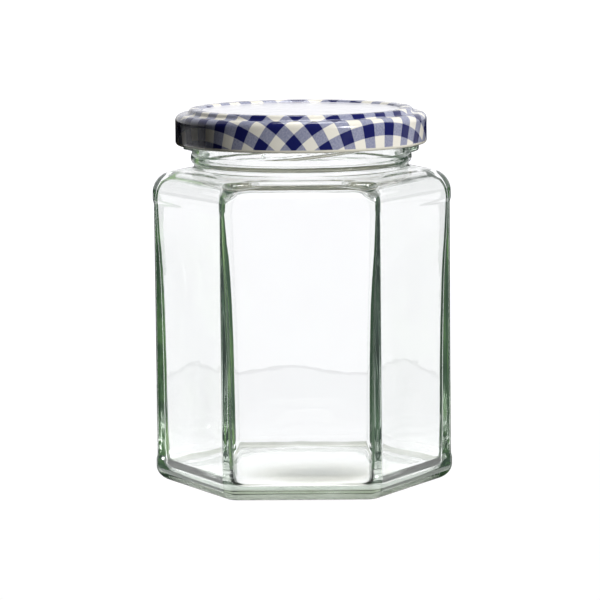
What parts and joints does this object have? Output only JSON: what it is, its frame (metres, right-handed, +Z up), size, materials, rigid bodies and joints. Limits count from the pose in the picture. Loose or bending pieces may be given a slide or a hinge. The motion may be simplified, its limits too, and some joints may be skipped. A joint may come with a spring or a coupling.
{
  "type": "hexagonal preserve jar",
  "caption": "Empty six-sided clear glass preserve jar, shut with a lug twist-off lid printed in blue and cream gingham.",
  "frame": {"origin": "centre of the base, on the surface the jar stands on", "axes": "+Z up through the mouth, +Y square to a flat side, +X through an upright corner"},
  "size_m": [0.079, 0.0692, 0.0995],
  "materials": {
    "clear_glass": "clear, slightly green in its thick edges",
    "printed_tinplate": "gloss lacquer over a blue and cream gingham print, white middle panel"
  },
  "bodies": {
    "root": {"jar": "clear_glass", "lid": "printed_tinplate"}
  },
  "joints": []
}
